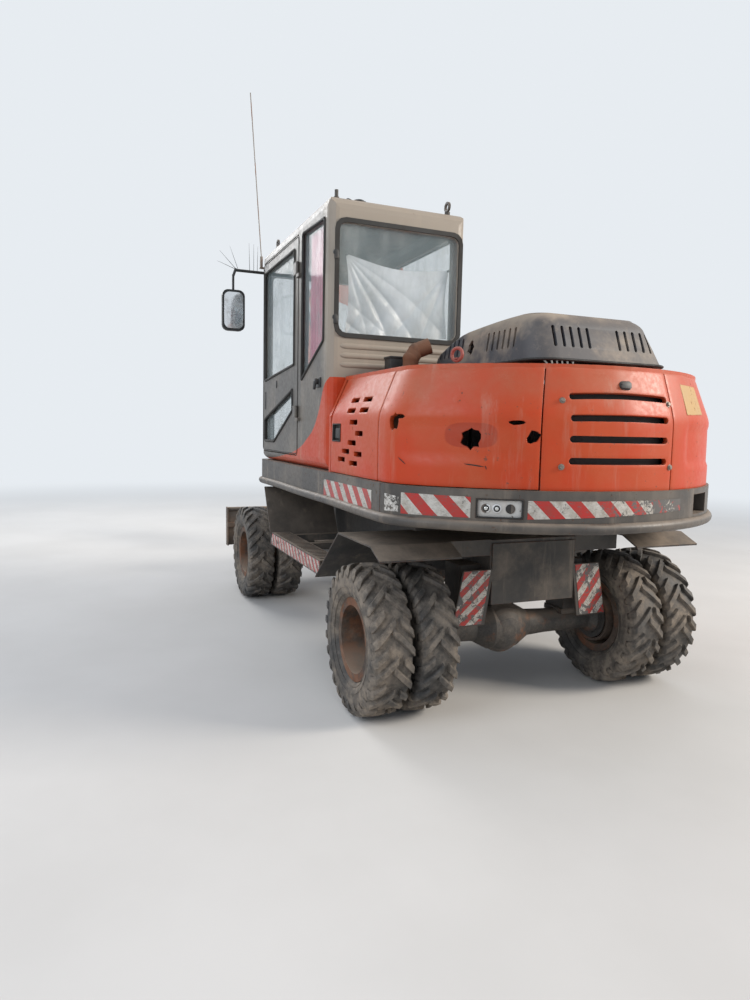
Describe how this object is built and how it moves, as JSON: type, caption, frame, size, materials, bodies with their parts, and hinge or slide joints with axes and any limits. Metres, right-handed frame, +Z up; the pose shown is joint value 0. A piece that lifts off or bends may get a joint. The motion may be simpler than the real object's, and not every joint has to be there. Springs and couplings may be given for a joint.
{
  "type": "wheeled excavator",
  "caption": "Wheeled excavator on twin tyres with a cab on the left, steered front axle, dozer blade, slewing upper body and a boom, arm and bucket on cylinders.",
  "frame": {"origin": "on the ground under the slew axis", "axes": "+X runs forward along the machine, +Y to its left, +Z up"},
  "size_m": [6.0861, 2.4775, 4.3868],
  "materials": {
    "orange_paint": "faded, dusty and chipped",
    "grey_paint": "dusty, worn to primer",
    "frame_paint": "dark, dusty",
    "axle_iron": "oily and rusty",
    "blade_paint": "rusty",
    "tyre_rubber": "dusty",
    "rim_steel": "rusty",
    "bright_steel": "polished rod",
    "hood_plastic": "weathered",
    "rusty_pipe": "rusty",
    "engine_iron": "oily",
    "window_glass": "dusty",
    "seal_rubber": "matt",
    "seat_fabric": "worn",
    "black_plastic": "matt",
    "curtain_cloth": "thin cloth",
    "plastic_sheet": "creased translucent sheet",
    "bucket_steel": "scraped bare"
  },
  "bodies": {
    "chassis": {"chassis_frame": "frame_paint", "rear_axle": "axle_iron", "front_axle": "axle_iron", "mudguards_and_steps": "frame_paint", "drive_line": "axle_iron"},
    "wheel_rear_left": {"tyres_rear_left": "tyre_rubber", "rims_rear_left": "rim_steel"},
    "wheel_rear_right": {"tyres_rear_right": "tyre_rubber", "rims_rear_right": "rim_steel"},
    "wheel_front_left": {"tyres_front_left": "tyre_rubber", "rims_front_left": "rim_steel"},
    "wheel_front_right": {"tyres_front_right": "tyre_rubber", "rims_front_right": "rim_steel"},
    "knuckle_left": {"knuckle_left": "axle_iron"},
    "knuckle_right": {"knuckle_right": "axle_iron"},
    "tie_rod": {"tie_rod": "bright_steel"},
    "blade_links": {"blade_lower_links": "blade_paint"},
    "blade": {"blade": "blade_paint"},
    "blade_upper": {"blade_upper_link": "blade_paint"},
    "blade_barrel": {"blade_barrel": "frame_paint"},
    "blade_rod": {"blade_rod": "bright_steel"},
    "upper": {"deck": "grey_paint", "counterweight": "grey_paint", "rear_grille_panel": "orange_paint", "rear_right_cover": "orange_paint", "top_cover": "orange_paint", "bulkhead": "orange_paint", "engine_block": "engine_iron", "exhaust": "rusty_pipe", "tanks": "orange_paint", "cab_shell": "grey_paint", "cab_glass": "window_glass", "window_seals": "seal_rubber", "seat": "seat_fabric", "controls": "black_plastic", "curtain": "curtain_cloth", "rear_sheet": "plastic_sheet", "left_mirror": "black_plastic", "whip_antenna": "bright_steel", "roof_fittings": "frame_paint"},
    "cab_door": {"cab_door": "grey_paint", "door_glass": "window_glass"},
    "left_service_door": {"left_service_door": "orange_paint"},
    "right_service_door": {"right_service_door": "orange_paint"},
    "rear_left_cover": {"rear_left_cover": "orange_paint"},
    "hood": {"hood": "hood_plastic"},
    "boom": {"boom": "orange_paint"},
    "boom_barrels": {"boom_barrels": "grey_paint"},
    "boom_rods": {"boom_rods": "bright_steel"},
    "arm": {"arm": "orange_paint"},
    "arm_barrel": {"arm_barrel": "grey_paint"},
    "arm_rod": {"arm_rod": "bright_steel"},
    "bucket": {"bucket": "bucket_steel"},
    "bucket_barrel": {"bucket_barrel": "grey_paint"},
    "bucket_rod": {"bucket_rod": "bright_steel"},
    "bucket_rocker": {"bucket_rocker": "frame_paint"},
    "bucket_link": {"bucket_link": "frame_paint"}
  },
  "joints": [
    {"name": "wheel_rear_left_spin", "type": "hinge", "parent": "chassis", "child": "wheel_rear_left", "pos_m": [-1.1, 0.85, 0.4325], "axis": [0, 1, 0], "continuous": true},
    {"name": "wheel_rear_right_spin", "type": "hinge", "parent": "chassis", "child": "wheel_rear_right", "pos_m": [-1.1, -0.85, 0.4325], "axis": [0, 1, 0], "continuous": true},
    {"name": "wheel_front_left_spin", "type": "hinge", "parent": "knuckle_left", "child": "wheel_front_left", "pos_m": [1.86, 0.85, 0.4325], "axis": [0, 1, 0], "continuous": true},
    {"name": "wheel_front_right_spin", "type": "hinge", "parent": "knuckle_right", "child": "wheel_front_right", "pos_m": [1.86, -0.85, 0.4325], "axis": [0, 1, 0], "continuous": true},
    {"name": "steering", "type": "hinge", "parent": "chassis", "child": "knuckle_left", "pos_m": [1.86, 0.52, 0.4325], "axis": [0, 0, 1], "range_deg": [-25, 25]},
    {"name": "steering_right", "type": "hinge", "parent": "chassis", "child": "knuckle_right", "pos_m": [1.86, -0.52, 0.4325], "axis": [0, 0, 1], "range_deg": [-26, 26]},
    {"name": "tie_rod_slide", "type": "slide", "parent": "chassis", "child": "tie_rod", "axis": [0, 1, 0], "range_m": [-0.09, 0.09]},
    {"name": "blade_lift", "type": "hinge", "parent": "chassis", "child": "blade_links", "pos_m": [2.2, 0, 0.37], "axis": [0, -1, 0], "range_deg": [-60, 0]},
    {"name": "blade_tilt", "type": "hinge", "parent": "blade_links", "child": "blade", "pos_m": [2.56252, 0, 0.53905], "axis": [0, -1, 0], "range_deg": [-0.5, 60.5]},
    {"name": "blade_upper_turn", "type": "hinge", "parent": "chassis", "child": "blade_upper", "pos_m": [2.2, 0, 0.57], "axis": [0, -1, 0], "range_deg": [-60.5, 0.5]},
    {"name": "blade_barrel_turn", "type": "hinge", "parent": "chassis", "child": "blade_barrel", "pos_m": [2.28, 0, 0.96], "axis": [0, -1, 0], "range_deg": [-14.7, 0]},
    {"name": "blade_rod_slide", "type": "slide", "parent": "blade_barrel", "child": "blade_rod", "axis": [0.5227, 0, -0.8525], "range_m": [0, 0.37]},
    {"name": "slew", "type": "hinge", "parent": "chassis", "child": "upper", "pos_m": [0, 0, 1.096], "axis": [0, 0, 1], "continuous": true},
    {"name": "cab_door_hinge", "type": "hinge", "parent": "upper", "child": "cab_door", "pos_m": [0.15, 1.06, 2], "axis": [0, 0, 1], "range_deg": [0, 165]},
    {"name": "left_service_door_hinge", "type": "hinge", "parent": "upper", "child": "left_service_door", "pos_m": [-1.32565, 1.035, 1.5], "axis": [0, 0, 1], "range_deg": [0, 85]},
    {"name": "right_service_door_hinge", "type": "hinge", "parent": "upper", "child": "right_service_door", "pos_m": [-1.32565, -1.035, 1.5], "axis": [0, 0, -1], "range_deg": [0, 90]},
    {"name": "rear_left_cover_hinge", "type": "hinge", "parent": "upper", "child": "rear_left_cover", "pos_m": [-1.33365, 1.035, 1.5], "axis": [0, 0, -1], "range_deg": [0, 85]},
    {"name": "hood_hinge", "type": "hinge", "parent": "upper", "child": "hood", "pos_m": [-0.646, 0, 1.9604], "axis": [0, 1, 0], "range_deg": [0, 42]},
    {"name": "boom_lift", "type": "hinge", "parent": "upper", "child": "boom", "pos_m": [0.25, -0.12, 1.62], "axis": [0, -1, 0], "range_deg": [-45, 30]},
    {"name": "boom_barrels_turn", "type": "hinge", "parent": "upper", "child": "boom_barrels", "pos_m": [0.68, -0.12, 1.29], "axis": [0, -1, 0], "range_deg": [-43, 28.7]},
    {"name": "boom_rods_slide", "type": "slide", "parent": "boom_barrels", "child": "boom_rods", "axis": [0.3873, 0, 0.9219], "range_m": [-0.402, 0.269]},
    {"name": "arm_swing", "type": "hinge", "parent": "boom", "child": "arm", "pos_m": [3.15984, -0.12, 3.3], "axis": [0, 1, 0], "range_deg": [-62, 30]},
    {"name": "arm_barrel_turn", "type": "hinge", "parent": "boom", "child": "arm_barrel", "pos_m": [1.16904, -0.12, 3.02818], "axis": [0, -1, 0], "range_deg": [-1.9, 1]},
    {"name": "arm_rod_slide", "type": "slide", "parent": "arm_barrel", "child": "arm_rod", "axis": [0.9396, 0, 0.3422], "range_m": [-0.409, 0.199]},
    {"name": "bucket_turn", "type": "hinge", "parent": "arm", "child": "bucket", "pos_m": [3.72418, -0.12, 1.74951], "axis": [0, -1, 0], "range_deg": [-40, 93]},
    {"name": "bucket_rocker_turn", "type": "hinge", "parent": "arm", "child": "bucket_rocker", "pos_m": [3.60789, -0.12, 2.069], "axis": [0, -1, 0], "range_deg": [-35.5, 82.4]},
    {"name": "bucket_link_turn", "type": "hinge", "parent": "bucket_rocker", "child": "bucket_link", "pos_m": [3.84379, -0.12, 2.02481], "axis": [0, -1, 0], "range_deg": [-81.2, 35]},
    {"name": "bucket_barrel_turn", "type": "hinge", "parent": "arm", "child": "bucket_barrel", "pos_m": [3.49734, -0.12, 3.22064], "axis": [0, -1, 0], "range_deg": [-0.5, 1]},
    {"name": "bucket_rod_slide", "type": "slide", "parent": "bucket_barrel", "child": "bucket_rod", "axis": [0.2783, 0, -0.9605], "range_m": [-0.294, 0.127]}
  ],
  "couplings": [
    {"joint": "steering_right", "follows": "steering", "ratio": 1},
    {"joint": "tie_rod_slide", "follows": "steering", "m_per_rad": -0.18403},
    {"joint": "blade_tilt", "follows": "blade_lift", "ratio": -1},
    {"joint": "blade_upper_turn", "follows": "blade_lift", "ratio": 1},
    {"joint": "blade_barrel_turn", "follows": "blade_lift", "ratio": 0.24369},
    {"joint": "blade_rod_slide", "follows": "blade_lift", "m_per_rad": -0.35187},
    {"joint": "boom_barrels_turn", "follows": "boom_lift", "ratio": 0.95316},
    {"joint": "boom_rods_slide", "follows": "boom_lift", "m_per_rad": 0.51026},
    {"joint": "arm_barrel_turn", "follows": "arm_swing", "ratio": 0.029449},
    {"joint": "arm_rod_slide", "follows": "arm_swing", "m_per_rad": 0.37658},
    {"joint": "bucket_rocker_turn", "follows": "bucket_turn", "ratio": 0.8851},
    {"joint": "bucket_link_turn", "follows": "bucket_turn", "ratio": -0.8716},
    {"joint": "bucket_barrel_turn", "follows": "bucket_turn", "ratio": 0.010115},
    {"joint": "bucket_rod_slide", "follows": "bucket_turn", "m_per_rad": -0.18028}
  ]
}
